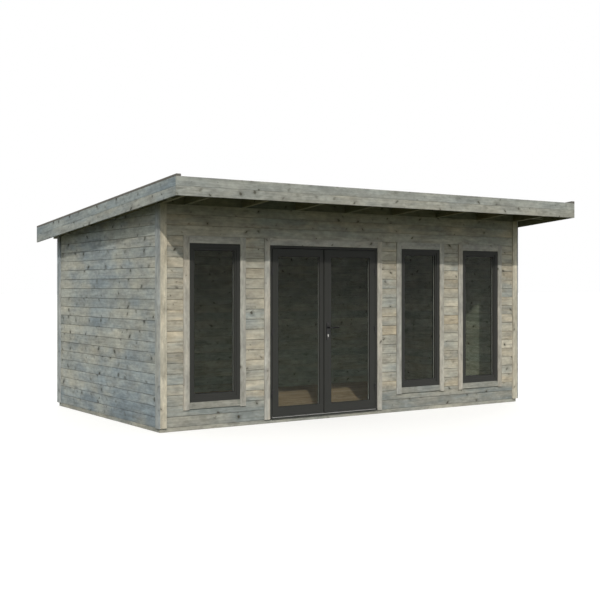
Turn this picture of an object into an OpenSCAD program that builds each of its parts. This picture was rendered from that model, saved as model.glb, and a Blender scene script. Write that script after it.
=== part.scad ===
// Flat-roofed timber garden house, millimetres, +Z up.
// The front looks towards -Y, +X runs to the right along the front.
// The origin lies on the ground under the middle of the roof.

/* [Front layout] */
// Wall from the left end of the base to the left window
left_end_pier = 350; // [260:5:600]
// Wall between the left window and the door
window_door_pier = 397; // [260:1:600]
// Wall between the door and the middle window
door_window_pier = 383; // [260:1:600]
// Wall between the middle and the right window
window_window_pier = 401; // [260:1:600]
// Wall from the right window to the right end of the base
right_end_pier = 359; // [260:1:600]
// Width of a window opening
window_w = 645; // [500:5:900]
// Height of a window opening
window_h = 1753; // [1500:1:2100]
// Height of the windows' lower edge above the ground
sill_z = 305; // [240:1:600]
// Width of the door opening
door_w = 1575; // [1400:5:1800]
// Height of the front wall over the openings, at the front edge of the base
header_h = 417; // [250:1:600]

/* [Base and floor] */
// Depth of the base from front to back
base_dep = 3025; // [2600:5:3400]
// Height of the base beams and joists
beam_h = 45; // [35:1:70]
// Width of the long base beams
beam_w = 95; // [85:1:140]
// Width of a floor joist
joist_w = 45; // [35:1:70]
// Distance between floor joists, centre to centre, at most
joist_pitch = 600; // [400:10:700]
// Thickness of the floor boards
floor_t = 19; // [16:1:22]
// Gap between the floor and the walls
floor_gap = 4; // [2:1:10]

/* [Walls] */
// Thickness of the board walls
wall_t = 58; // [52:1:70]
// How far the wall stands out past the base
wall_out = 4; // [0:1:12]
// Height of one course of wall boards
course_h = 116.2; // [90:0.2:150]
// Depth of the V-joints between boards
joint_d = 4; // [2:0.5:6]

/* [Trims and casings] */
// Width of a corner board
corner_w = 96; // [70:1:140]
// Thickness of the corner boards
corner_t = 18; // [14:1:26]
// Width of the casing boards beside and under an opening
casing_w = 72; // [50:1:95]
// Height of the casing board over an opening
casing_top_h = 80; // [50:1:110]
// Thickness of the casing boards
casing_t = 18; // [14:1:26]
// How far the side casings run on below the bottom one
casing_tail = 10; // [0:1:30]

/* [Windows] */
// How far the frames stand out past the wall
frame_proud = 9; // [0:1:14]
// Face width of the outer window frame
window_face = 46; // [30:1:70]
// Set-back of the sash behind the frame
sash_back = 10; // [4:1:16]
// Face width of the sash stiles
sash_side = 23; // [15:1:45]
// Face height of the top sash rail
sash_top = 29; // [15:1:60]
// Face height of the bottom sash rail
sash_bottom = 42; // [15:1:80]
// Thickness of one glass pane
pane_t = 4; // [3:0.5:5]
// Air space between the two panes
pane_gap = 8; // [6:1:10]
// Depth of the glazing groove
groove_d = 12; // [6:1:14]
// Set-back of the window glass behind the sash face
window_glass_back = 20; // [8:1:24]

/* [Door] */
// Face width of the jambs and the head
jamb_face = 30; // [28:1:60]
// Running gap round the door leaves
door_gap = 7; // [6:0.5:10]
// Thickness of a door leaf
leaf_t = 48; // [40:1:50]
// Face width of the door stiles
stile_w = 82; // [80:1:110]
// Face height of the top door rail
top_rail_h = 87; // [60:1:140]
// Face height of the bottom door rail
bottom_rail_h = 105; // [80:1:220]
// Set-back of the door glass behind the leaf face
door_glass_back = 20; // [10:1:22]
// Distance of the seam between the leaves from the door's middle
seam_offset = 25; // [15:1:30]
// Width of the cover strip on the right leaf
strip_w = 28; // [20:1:30]
// Thickness of the cover strip
strip_t = 10; // [6:1:16]
// Gap between a closed leaf and the door stops
stop_gap = 6; // [5:0.5:8]
// How far the door stops reach past the jambs
stop_w = 15; // [12:1:25]
// Height of the threshold above the base
threshold_h = 20; // [10:1:40]
// Thickness of the metal cap on the threshold
cap_t = 3; // [2:0.5:5]
// Fall of the threshold cap towards the outside
cap_fall = 4; // [0:0.5:6]

/* [Hinges] */
// Radius of a hinge knuckle
knuckle_r = 7; // [6:0.5:8]
// Height of one hinge knuckle
knuckle_h = 44; // [30:1:60]
// Vertical gap between the two knuckles of a hinge
knuckle_gap = 0.8; // [0.4:0.1:0.9]
// Radius of the hinge pin
pin_r = 3.5; // [2.5:0.1:4.5]
// Running clearance between pin and knuckle, on the radius
pin_clear = 0.08; // [0.03:0.01:0.1]
// Height of the pin above the lower knuckle
pin_h = 38; // [20:1:42]
// Clearance of the knuckle in front of the leaf face
knuckle_off = 1; // [0.5:0.1:2]
// Width of a hinge flap
flap_w = 28; // [20:1:30]
// Thickness of a hinge flap
flap_t = 3; // [2:0.5:4]
// Distance of the end hinges from the ends of the leaf
hinge_inset = 220; // [150:5:350]

/* [Lever handle] */
// Height of the lever above the ground
lever_z = 1090; // [950:5:1200]
// Distance of the lever's pivot from the right leaf's meeting edge
lever_inset = 54; // [54:1:80]
// Length of the lever from its pivot
lever_len = 132; // [100:1:150]
// Radius of the lever's grip
grip_r = 8; // [6:0.5:9]
// Radius of the lever's neck
neck_r = 10; // [9.5:0.5:12]
// Distance from the plate to the middle of the grip
grip_off = 44; // [35:1:60]
// Radius of the spindle through the leaf
spindle_r = 5; // [4:0.5:6]
// Clearance round the spindle inside the leaf
spindle_clear = 5; // [3:0.5:6]
// Running clearance of the neck in its plate, on the radius
neck_clear = 0.1; // [0.05:0.01:0.2]
// Width of the handle plates
plate_w = 40; // [34:1:46]
// Length of the handle plates
plate_h = 210; // [180:1:260]
// Thickness of the handle plates
plate_t = 8; // [6:0.5:10]
// Corner radius of the handle plates
plate_round = 10; // [2:1:16]
// Height of the lever above the lock cylinder
lock_drop = 90; // [70:1:95]
// Radius of the lock cylinder's barrel
lock_r = 8.5; // [8:0.5:10]
// Width of the foot under the barrel
lock_foot_w = 10; // [8:0.5:12]
// Distance from the barrel's middle to the round end of the foot, middle to middle
lock_foot = 19.5; // [16:0.5:24]
// Clearance round the lock cylinder
lock_clear = 0.3; // [0.1:0.1:0.5]
// How far the lock cylinder stands out of the plates
lock_out = 3; // [1:0.5:6]

/* [Roof] */
// Fall of the roof towards the back, in degrees
roof_pitch = 4.44; // [2:0.02:7]
// Overhang of the roof past the front of the base
front_overhang = 838; // [500:1:1000]
// Overhang of the roof past the back of the base
back_overhang = 231; // [150:1:400]
// Overhang of the roof past the ends of the base
side_overhang = 227; // [120:1:400]
// Width of a rafter
rafter_w = 45; // [36:1:60]
// Height of a rafter, measured plumb
rafter_h = 120; // [90:1:200]
// Distance from the left end of the base to the first inner rafter
rafter_first = 323; // [200:1:600]
// Distance between inner rafters, centre to centre
rafter_pitch = 729; // [500:1:900]
// Distance from the roof's front edge to the first outlooker
outlooker_first = 508; // [100:1:700]
// Distance between outlookers, centre to centre
outlooker_pitch = 740; // [400:5:900]
// Bearing clearance under each piece that lies along the pitch
seat_gap = 0.2; // [0.1:0.05:0.3]
// Thickness of the infill boards between the rafters
infill_t = 28; // [18:1:40]
// Set-back of the infill behind the wall faces
infill_back = 10; // [0:1:15]
// Thickness of the roof boards
deck_t = 20; // [16:1:28]
// Width of a roof board, at most
roof_board_w = 100; // [80:1:150]
// Thickness of the roofing felt
felt_t = 4; // [2:0.5:8]
// Thickness of the fascia boards
fascia_t = 19; // [16:1:28]
// How far the fascia boards hang below the rafters
fascia_drop = 50; // [0:1:80]
// Width of the strips along the roof's sloping edges
edge_strip_w = 54; // [40:1:80]
// Height of those edge strips
edge_strip_h = 24; // [15:1:45]

/* [Hidden] */

// Colours
wall_grey = [0.64, 0.66, 0.65];
trim_grey = [0.72, 0.73, 0.71];
rough_timber = [0.55, 0.50, 0.40];
floor_brown = [0.60, 0.44, 0.28];
anthracite = [0.21, 0.22, 0.23];
black = [0.08, 0.08, 0.09];
steel = [0.75, 0.76, 0.78];
glass_tint = [0.45, 0.52, 0.50, 0.5];
felt_grey = [0.24, 0.24, 0.25];

// Margin by which a cut runs past the faces that it opens
cut = 1;
round_sides = 64;

// Plan of the base, walls and roof
base_len = left_end_pier + 3 * window_w + window_door_pier + door_w
    + door_window_pier + window_window_pier + right_end_pier;
base_x = base_len / 2;
roof_dep = front_overhang + base_dep + back_overhang;
roof_x = base_x + side_overhang;
roof_y0 = -roof_dep / 2;
roof_y1 = roof_dep / 2;
base_y0 = roof_y0 + front_overhang;
base_y1 = base_y0 + base_dep;
wall_x = base_x + wall_out;
wall_y0 = base_y0 - wall_out;
wall_y1 = base_y1 + wall_out;
room_x = wall_x - wall_t;
room_y0 = wall_y0 + wall_t;
room_y1 = wall_y1 - wall_t;
floor_z = beam_h + floor_t;

// Courses of wall boards, counted from the top of the base
head_z = sill_z + window_h;
front_wall_top = head_z + header_h;
course_zs = [for (z = [beam_h + course_h : course_h : front_wall_top]) z];

// Openings along the front, each from its left edge
left_window_x = left_end_pier - base_x;
door_x = left_window_x + window_w + window_door_pier;
middle_window_x = door_x + door_w + door_window_pier;
right_window_x = middle_window_x + window_w + window_window_pier;
window_xs = [left_window_x, middle_window_x, right_window_x];
frame_y = wall_y0 - frame_proud;
casing_y = wall_y0 - casing_t;
casing_foot = sill_z - casing_w - casing_tail;

// Glazing
unit_t = 2 * pane_t + pane_gap;
window_glass_y = frame_y + sash_back + window_glass_back;
door_glass_y = frame_y + door_glass_back;

// Door leaves
leaf_y1 = frame_y + leaf_t;
stop_y = leaf_y1 + stop_gap;
jamb_z1 = head_z - jamb_face;
cap_z = beam_h + threshold_h + cap_t;
leaf_z0 = cap_z + door_gap;
leaf_z1 = jamb_z1 - door_gap;
clear_x0 = door_x + jamb_face;
clear_x1 = door_x + door_w - jamb_face;
leaf_mean_w = (clear_x1 - clear_x0 - 3 * door_gap) / 2;
left_leaf_x0 = clear_x0 + door_gap;
left_leaf_x1 = left_leaf_x0 + leaf_mean_w - seam_offset;
right_leaf_x0 = left_leaf_x1 + door_gap;
right_leaf_x1 = clear_x1 - door_gap;
left_light_x0 = left_leaf_x0 + stile_w;
left_light_x1 = left_leaf_x1 - stile_w + seam_offset;
right_light_x0 = right_leaf_x0 + stile_w + seam_offset;
right_light_x1 = right_leaf_x1 - stile_w;

// Hinge axes, in the middle of the running gaps
left_axis_x = clear_x0 + door_gap / 2;
right_axis_x = clear_x1 - door_gap / 2;
axis_y = frame_y - knuckle_off - knuckle_r;
hinge_h = 2 * knuckle_h + knuckle_gap;
hinge_zs = [
    leaf_z0 + hinge_inset,
    (leaf_z0 + leaf_z1 - hinge_h) / 2,
    leaf_z1 - hinge_inset - hinge_h
];

// Lever handle, on the wide meeting stile between the cover strip and the glass
lever_x = right_leaf_x0 + lever_inset;
lock_z = lever_z - lock_drop;
plate_z0 = (lever_z + lock_z - plate_h) / 2;

// Roof; heights along the pitch count from the rafters' underside
deck_top = rafter_h + deck_t;
felt_top = deck_top + felt_t;
rafter_y0 = roof_y0 + fascia_t;
rafter_y1 = roof_y1 - fascia_t;
inner_rafters = floor((base_len - rafter_first - 2 * rafter_w) / rafter_pitch);
inner_rafter_xs = [for (i = [0 : inner_rafters]) rafter_first - base_x - rafter_w / 2 + i * rafter_pitch];
rafter_xs = concat([-wall_x], inner_rafter_xs, [wall_x - rafter_w]);
last_outlooker = floor((rafter_y1 - roof_y0 - outlooker_first - rafter_w) / outlooker_pitch);
outlooker_ys = [for (i = [0 : last_outlooker]) roof_y0 + outlooker_first + i * outlooker_pitch];

fascia_joint = (felt_top - fascia_drop) / 2;
roof_boards = ceil((rafter_y1 - rafter_y0) / roof_board_w);
roof_board_step = (rafter_y1 - rafter_y0) / roof_boards;

// Floor joists, spread evenly between the ends of the base
joist_gaps = ceil((base_len - joist_w) / joist_pitch);
joist_step = (base_len - joist_w) / joist_gaps;

// Height of the rafters' underside over a point at depth y
function rafter_z(y) = front_wall_top - (y - base_y0) * tan(roof_pitch);

// Box between two opposite corners
module block(low, high) {
    translate(low)
        cube(high - low);
}

// Profile in the Y-Z plane, run along X
module run_x(x0, x1) {
    translate([x0, 0, 0])
        rotate([90, 0, 90])
            linear_extrude(x1 - x0)
                children();
}

// Profile in the X-Z plane, run along Y
module run_y(y0, y1) {
    translate([0, y1, 0])
        rotate([90, 0, 0])
            linear_extrude(y1 - y0)
                children();
}

// V-joint between two boards, cut into a profile at a point of its edge
module v_joint(across, up) {
    translate([across, up])
        rotate(45)
            square(joint_d * sqrt(2), center = true);
}

// Joints between the courses, on both faces of a wall along the front or back
module courses_along_x(y0, y1) {
    run_x(-wall_x - cut, wall_x + cut)
        for (z = course_zs, y = [y0, y1])
            v_joint(y, z);
}

// Joints between the courses, on both faces of a side wall
module courses_along_y(x0, x1) {
    run_y(room_y0 - cut, room_y1 + cut)
        for (z = course_zs, x = [x0, x1])
            v_joint(x, z);
}

// Upright board or wall from height z0 up to the underside of the rafters
module under_roof(x0, x1, y0, y1, z0) {
    run_x(x0, x1)
        polygon([[y0, z0], [y1, z0], [y1, rafter_z(y1)], [y0, rafter_z(y0)]]);
}

// Piece that lies along the pitch, between two plumb heights over the rafters' underside
module on_pitch(x0, x1, y0, y1, low, high) {
    seat = low + seat_gap;
    run_x(x0, x1)
        polygon([
            [y0, rafter_z(y0) + seat], [y1, rafter_z(y1) + seat],
            [y1, rafter_z(y1) + high], [y0, rafter_z(y0) + high]
        ]);
}

// Round bar along Y
module bar_y(x, z, y0, y1, r) {
    translate([x, y0, z])
        rotate([-90, 0, 0])
            cylinder(h = y1 - y0, r = r, $fn = round_sides);
}

// Base and floor

module base_beams() {
    color(rough_timber) {
        block([-base_x, base_y0, 0], [base_x, base_y0 + beam_w, beam_h]);
        block([-base_x, base_y1 - beam_w, 0], [base_x, base_y1, beam_h]);
    }
}

module floor_joists() {
    color(rough_timber)
        for (i = [0 : joist_gaps])
            let (x = -base_x + i * joist_step)
                block([x, base_y0 + beam_w, 0], [x + joist_w, base_y1 - beam_w, beam_h]);
}

module floor_deck() {
    color(floor_brown)
        block(
            [floor_gap - room_x, room_y0 + floor_gap, beam_h],
            [room_x - floor_gap, room_y1 - floor_gap, floor_z]
        );
}

// Walls

module front_wall_piers() {
    pier_x0s = [
        -wall_x, left_window_x + window_w, door_x + door_w,
        middle_window_x + window_w, right_window_x + window_w
    ];
    pier_x1s = [left_window_x, door_x, middle_window_x, right_window_x, wall_x];
    color(wall_grey)
        difference() {
            for (i = [0 : len(pier_x0s) - 1])
                block([pier_x0s[i], wall_y0, beam_h], [pier_x1s[i], room_y0, head_z]);
            courses_along_x(wall_y0, room_y0);
        }
}

module front_wall_sills() {
    color(wall_grey)
        difference() {
            for (x = window_xs)
                block([x, wall_y0, beam_h], [x + window_w, room_y0, sill_z]);
            courses_along_x(wall_y0, room_y0);
        }
}

module front_wall_header() {
    color(wall_grey)
        difference() {
            under_roof(-wall_x, wall_x, wall_y0, room_y0, head_z);
            courses_along_x(wall_y0, room_y0);
        }
}

module back_wall() {
    color(wall_grey)
        difference() {
            under_roof(-wall_x, wall_x, room_y1, wall_y1, beam_h);
            courses_along_x(room_y1, wall_y1);
        }
}

module side_wall(x0, x1) {
    color(wall_grey)
        difference() {
            under_roof(x0, x1, room_y0, room_y1, beam_h);
            courses_along_y(x0, x1);
        }
}

module left_wall() {
    side_wall(-wall_x, -room_x);
}

module right_wall() {
    side_wall(room_x, wall_x);
}

// Two boards nailed over a corner; side is -1 at the left, 1 at the right
module front_corner_trim(side) {
    outer = side * (wall_x + corner_t);
    inner = outer - side * corner_w;
    color(trim_grey) {
        under_roof(min(outer, inner), max(outer, inner), wall_y0 - corner_t, wall_y0, beam_h);
        under_roof(
            min(outer, side * wall_x), max(outer, side * wall_x),
            wall_y0, wall_y0 - corner_t + corner_w, beam_h
        );
    }
}

module back_corner_trim(side) {
    outer = side * (wall_x + corner_t);
    inner = outer - side * corner_w;
    color(trim_grey) {
        under_roof(min(outer, inner), max(outer, inner), wall_y1, wall_y1 + corner_t, beam_h);
        under_roof(
            min(outer, side * wall_x), max(outer, side * wall_x),
            wall_y1 + corner_t - corner_w, wall_y1, beam_h
        );
    }
}

module corner_trim_front_left() {
    front_corner_trim(-1);
}

module corner_trim_front_right() {
    front_corner_trim(1);
}

module corner_trim_back_left() {
    back_corner_trim(-1);
}

module corner_trim_back_right() {
    back_corner_trim(1);
}

// Casing boards round the openings

module casing_pair(x0, x1, z0) {
    top = head_z + casing_top_h;
    block([x0 - casing_w, casing_y, z0], [x0, wall_y0, top]);
    block([x1, casing_y, z0], [x1 + casing_w, wall_y0, top]);
}

module casing_sides() {
    color(trim_grey) {
        for (x = window_xs)
            casing_pair(x, x + window_w, casing_foot);
        casing_pair(door_x, door_x + door_w, beam_h);
    }
}

module casing_rails() {
    color(trim_grey) {
        for (x = window_xs) {
            block([x, casing_y, sill_z - casing_w], [x + window_w, wall_y0, sill_z]);
            block([x, casing_y, head_z], [x + window_w, wall_y0, head_z + casing_top_h]);
        }
        block([door_x, casing_y, head_z], [door_x + door_w, wall_y0, head_z + casing_top_h]);
    }
}

// Windows

// Visible glass of a window, as its low and high X and Z, grown by a margin
function window_light(x, grow) = [
    x + window_face + sash_side - grow,
    x + window_w - window_face - sash_side + grow,
    sill_z + window_face + sash_bottom - grow,
    head_z - window_face - sash_top + grow
];

module window_frame(x) {
    light = window_light(x, 0);
    groove = window_light(x, groove_d);
    color(anthracite)
        difference() {
            block([x, frame_y, sill_z], [x + window_w, room_y0, head_z]);
            block(
                [x + window_face, frame_y - cut, sill_z + window_face],
                [x + window_w - window_face, frame_y + sash_back, head_z - window_face]
            );
            block([light[0], frame_y - cut, light[2]], [light[1], room_y0 + cut, light[3]]);
            block(
                [groove[0], window_glass_y, groove[2]],
                [groove[1], window_glass_y + unit_t, groove[3]]
            );
        }
}

// Two panes that fill a glazing groove
module double_pane(groove, y) {
    color(glass_tint)
        for (face_y = [y, y + pane_t + pane_gap])
            block([groove[0], face_y, groove[2]], [groove[1], face_y + pane_t, groove[3]]);
}

module left_window_frame() {
    window_frame(left_window_x);
}

module middle_window_frame() {
    window_frame(middle_window_x);
}

module right_window_frame() {
    window_frame(right_window_x);
}

module left_window_glass() {
    double_pane(window_light(left_window_x, groove_d), window_glass_y);
}

module middle_window_glass() {
    double_pane(window_light(middle_window_x, groove_d), window_glass_y);
}

module right_window_glass() {
    double_pane(window_light(right_window_x, groove_d), window_glass_y);
}

// Door frame

module door_jambs() {
    color(anthracite) {
        block([door_x, frame_y, beam_h], [clear_x0, room_y0, jamb_z1]);
        block([clear_x0, stop_y, cap_z], [clear_x0 + stop_w, room_y0, jamb_z1]);
        block([clear_x1, frame_y, beam_h], [door_x + door_w, room_y0, jamb_z1]);
        block([clear_x1 - stop_w, stop_y, cap_z], [clear_x1, room_y0, jamb_z1]);
    }
}

module door_head() {
    color(anthracite) {
        block([door_x, frame_y, jamb_z1], [door_x + door_w, room_y0, head_z]);
        block([clear_x0 + stop_w, stop_y, jamb_z1 - stop_w], [clear_x1 - stop_w, room_y0, jamb_z1]);
    }
}

module door_threshold() {
    top = beam_h + threshold_h;
    color(black)
        run_x(clear_x0, clear_x1)
            polygon([
                [casing_y, beam_h], [room_y0, beam_h], [room_y0, top],
                [frame_y, top], [casing_y, top - cap_fall]
            ]);
}

module threshold_cap() {
    top = beam_h + threshold_h;
    color(steel)
        run_x(clear_x0, clear_x1)
            polygon([
                [casing_y, top - cap_fall], [frame_y, top], [room_y0, top],
                [room_y0, cap_z], [frame_y, cap_z], [casing_y, cap_z - cap_fall]
            ]);
}

// Hinge half fixed to the jamb, with its pin; side is the way from the axis to the jamb
module frame_hinge(x, z, side) {
    translate([x, axis_y, z]) {
        cylinder(h = knuckle_h, r = knuckle_r, $fn = round_sides);
        cylinder(h = knuckle_h + pin_h, r = pin_r, $fn = round_sides);
    }
    block(
        [min(x, x + side * flap_w), frame_y - flap_t, z],
        [max(x, x + side * flap_w), frame_y, z + knuckle_h]
    );
}

// Hinge half fixed to the leaf, bored for the pin; side is the way from the axis to the leaf
module leaf_hinge(x, z, side) {
    z0 = z + knuckle_h + knuckle_gap;
    difference() {
        union() {
            translate([x, axis_y, z0])
                cylinder(h = knuckle_h, r = knuckle_r, $fn = round_sides);
            block(
                [min(x, x + side * flap_w), frame_y - flap_t, z0],
                [max(x, x + side * flap_w), frame_y, z0 + knuckle_h]
            );
        }
        translate([x, axis_y, z0 - cut])
            cylinder(h = pin_h + cut, r = pin_r + pin_clear, $fn = round_sides);
    }
}

module frame_hinges() {
    color(black)
        for (z = hinge_zs) {
            frame_hinge(left_axis_x, z, -1);
            frame_hinge(right_axis_x, z, 1);
        }
}

module left_leaf_hinges() {
    color(black)
        for (z = hinge_zs)
            leaf_hinge(left_axis_x, z, 1);
}

module right_leaf_hinges() {
    color(black)
        for (z = hinge_zs)
            leaf_hinge(right_axis_x, z, -1);
}

// Door leaves

// Visible glass of a leaf, as its low and high X and Z, grown by a margin
function leaf_light(x0, x1, grow) = [
    x0 - grow, x1 + grow, leaf_z0 + bottom_rail_h - grow, leaf_z1 - top_rail_h + grow
];

// Stiles and rails round one light, with the glazing groove
module leaf_ring(x0, x1, light, groove) {
    difference() {
        block([x0, frame_y, leaf_z0], [x1, leaf_y1, leaf_z1]);
        block([light[0], frame_y - cut, light[2]], [light[1], leaf_y1 + cut, light[3]]);
        block([groove[0], door_glass_y, groove[2]], [groove[1], door_glass_y + unit_t, groove[3]]);
    }
}

module left_leaf() {
    color(anthracite)
        leaf_ring(
            left_leaf_x0, left_leaf_x1,
            leaf_light(left_light_x0, left_light_x1, 0),
            leaf_light(left_light_x0, left_light_x1, groove_d)
        );
}

module left_leaf_glass() {
    double_pane(leaf_light(left_light_x0, left_light_x1, groove_d), door_glass_y);
}

// Outline of the profile cylinder, a round barrel on a narrow foot, grown by a margin
module lock_outline(grow) {
    translate([lever_x, lock_z])
        offset(r = grow, $fn = round_sides) {
            circle(lock_r, $fn = round_sides);
            translate([-lock_foot_w / 2, -lock_foot])
                square([lock_foot_w, lock_foot]);
            translate([0, -lock_foot])
                circle(lock_foot_w / 2, $fn = round_sides);
        }
}

module right_leaf() {
    color(anthracite)
        difference() {
            leaf_ring(
                right_leaf_x0, right_leaf_x1,
                leaf_light(right_light_x0, right_light_x1, 0),
                leaf_light(right_light_x0, right_light_x1, groove_d)
            );
            bar_y(lever_x, lever_z, frame_y - cut, leaf_y1 + cut, spindle_r + spindle_clear);
            run_y(frame_y - cut, leaf_y1 + cut)
                lock_outline(lock_clear);
        }
}

module right_leaf_glass() {
    double_pane(leaf_light(right_light_x0, right_light_x1, groove_d), door_glass_y);
}

module meeting_strip() {
    color(anthracite)
        block([right_leaf_x0, frame_y - strip_t, leaf_z0], [right_leaf_x0 + strip_w, frame_y, leaf_z1]);
}

// Plates on both faces of the stile, bored for the lever's neck and the lock
module handle_plates() {
    color(black)
        for (y = [frame_y - plate_t, leaf_y1])
            run_y(y, y + plate_t)
                difference() {
                    translate([lever_x - plate_w / 2 + plate_round, plate_z0 + plate_round])
                        offset(r = plate_round, $fn = round_sides)
                            square([plate_w - 2 * plate_round, plate_h - 2 * plate_round]);
                    translate([lever_x, lever_z])
                        circle(neck_r + neck_clear, $fn = round_sides);
                    lock_outline(lock_clear);
                }
}

module lock_cylinder() {
    color(steel)
        run_y(frame_y - plate_t - lock_out, leaf_y1 + plate_t + lock_out)
            lock_outline(0);
}

// Turned grip along +X with a chamfered end
module grip(y) {
    chamfer = grip_r / 3;
    translate([lever_x, y, lever_z])
        rotate([0, 90, 0])
            rotate_extrude($fn = round_sides)
                polygon([
                    [0, 0], [grip_r, 0], [grip_r, lever_len - chamfer],
                    [grip_r - chamfer, lever_len], [0, lever_len]
                ]);
}

// Outer and inner lever on one spindle
module lever_handle() {
    outer_y = frame_y - plate_t - grip_off;
    inner_y = leaf_y1 + plate_t + grip_off;
    color(black) {
        grip(outer_y);
        grip(inner_y);
        bar_y(lever_x, lever_z, outer_y - neck_r, frame_y, neck_r);
        bar_y(lever_x, lever_z, leaf_y1, inner_y + neck_r, neck_r);
        bar_y(lever_x, lever_z, frame_y - cut, leaf_y1 + cut, spindle_r);
    }
}

// Roof

module rafters() {
    color(rough_timber)
        for (x = rafter_xs)
            on_pitch(x, x + rafter_w, rafter_y0, rafter_y1, 0, rafter_h);
}

// Short pieces that carry the sloping fascias beyond the end rafters
module outlookers() {
    color(rough_timber)
        for (y = outlooker_ys) {
            on_pitch(fascia_t - roof_x, -wall_x, y, y + rafter_w, 0, rafter_h);
            on_pitch(wall_x, roof_x - fascia_t, y, y + rafter_w, 0, rafter_h);
        }
}

// Boards that close the spaces between the rafters over the front and back walls
module eaves_infill() {
    color(wall_grey)
        for (i = [0 : len(rafter_xs) - 2]) {
            x0 = rafter_xs[i] + rafter_w;
            x1 = rafter_xs[i + 1];
            on_pitch(x0, x1, wall_y0 + infill_back, wall_y0 + infill_back + infill_t, 0, rafter_h);
            on_pitch(x0, x1, wall_y1 - infill_back - infill_t, wall_y1 - infill_back, 0, rafter_h);
        }
}

module roof_deck() {
    color(rough_timber)
        difference() {
            on_pitch(fascia_t - roof_x, roof_x - fascia_t, rafter_y0, rafter_y1, rafter_h, deck_top);
            run_x(-roof_x, roof_x)
                for (i = [1 : roof_boards - 1])
                    let (y = rafter_y0 + i * roof_board_step)
                        v_joint(y, rafter_z(y) + rafter_h + seat_gap);
        }
}

// The felt laps over the back fascia, where the water runs off
module roof_felt() {
    color(felt_grey)
        on_pitch(fascia_t - roof_x, roof_x - fascia_t, rafter_y0, roof_y1, deck_top, felt_top);
}

// Fascias of two boards each, one above the other

module front_fascia() {
    color(trim_grey)
        difference() {
            on_pitch(-roof_x, roof_x, roof_y0, rafter_y0, -fascia_drop, felt_top);
            run_x(-roof_x - cut, roof_x + cut)
                v_joint(roof_y0, rafter_z(roof_y0) + fascia_joint);
        }
}

module back_fascia() {
    color(trim_grey)
        difference() {
            on_pitch(fascia_t - roof_x, roof_x - fascia_t, rafter_y1, roof_y1, -fascia_drop, deck_top);
            run_x(-roof_x, roof_x)
                v_joint(roof_y1, rafter_z(roof_y1) + fascia_joint);
        }
}

// Shapes drawn level over the rafters' underside, laid along the pitch
module laid_on_pitch() {
    multmatrix([[1, 0, 0, 0], [0, 1, 0, 0], [0, -tan(roof_pitch), 1, rafter_z(0)], [0, 0, 0, 1]])
        children();
}

module side_fascias() {
    color(trim_grey)
        difference() {
            union() {
                on_pitch(-roof_x, fascia_t - roof_x, rafter_y0, roof_y1, -fascia_drop, felt_top);
                on_pitch(roof_x - fascia_t, roof_x, rafter_y0, roof_y1, -fascia_drop, felt_top);
            }
            laid_on_pitch()
                run_y(rafter_y0 - cut, roof_y1 + cut)
                    for (x = [-roof_x, roof_x])
                        v_joint(x, fascia_joint);
        }
}

module edge_strips() {
    top = felt_top + edge_strip_h;
    color(felt_grey) {
        on_pitch(-roof_x, edge_strip_w - roof_x, roof_y0, roof_y1, felt_top, top);
        on_pitch(roof_x - edge_strip_w, roof_x, roof_y0, roof_y1, felt_top, top);
    }
}

base_beams();
floor_joists();
floor_deck();
front_wall_piers();
front_wall_sills();
front_wall_header();
back_wall();
left_wall();
right_wall();
corner_trim_front_left();
corner_trim_front_right();
corner_trim_back_left();
corner_trim_back_right();
casing_sides();
casing_rails();
left_window_frame();
middle_window_frame();
right_window_frame();
left_window_glass();
middle_window_glass();
right_window_glass();
door_jambs();
door_head();
door_threshold();
threshold_cap();
frame_hinges();
left_leaf();
left_leaf_glass();
left_leaf_hinges();
right_leaf();
right_leaf_glass();
right_leaf_hinges();
meeting_strip();
handle_plates();
lock_cylinder();
lever_handle();
rafters();
outlookers();
eaves_infill();
roof_deck();
roof_felt();
front_fascia();
back_fascia();
side_fascias();
edge_strips();
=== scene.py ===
# Garden house: the finish of every surface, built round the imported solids, in metres.
import math

import bpy
from mathutils import Matrix, Vector


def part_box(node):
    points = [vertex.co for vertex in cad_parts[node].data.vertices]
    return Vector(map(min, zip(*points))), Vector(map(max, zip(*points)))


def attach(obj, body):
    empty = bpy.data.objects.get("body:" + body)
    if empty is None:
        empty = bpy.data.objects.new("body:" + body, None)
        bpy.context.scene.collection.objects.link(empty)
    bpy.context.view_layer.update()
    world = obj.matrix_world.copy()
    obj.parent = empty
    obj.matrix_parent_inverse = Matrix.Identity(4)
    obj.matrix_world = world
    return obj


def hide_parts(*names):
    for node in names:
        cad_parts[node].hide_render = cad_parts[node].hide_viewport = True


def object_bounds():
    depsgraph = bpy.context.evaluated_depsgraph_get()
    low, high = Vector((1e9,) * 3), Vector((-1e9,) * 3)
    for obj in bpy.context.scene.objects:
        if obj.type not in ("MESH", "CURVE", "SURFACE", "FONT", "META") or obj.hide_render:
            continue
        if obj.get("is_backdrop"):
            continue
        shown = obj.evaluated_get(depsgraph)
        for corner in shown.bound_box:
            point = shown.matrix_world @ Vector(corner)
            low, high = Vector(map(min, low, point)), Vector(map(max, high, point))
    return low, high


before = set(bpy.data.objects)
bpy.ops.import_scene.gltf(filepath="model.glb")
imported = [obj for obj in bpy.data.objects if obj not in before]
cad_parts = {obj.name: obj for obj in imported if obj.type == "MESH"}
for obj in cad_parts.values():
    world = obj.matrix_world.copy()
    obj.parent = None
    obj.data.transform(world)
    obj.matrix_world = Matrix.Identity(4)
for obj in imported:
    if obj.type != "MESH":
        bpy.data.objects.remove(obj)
cad_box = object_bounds()


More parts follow.
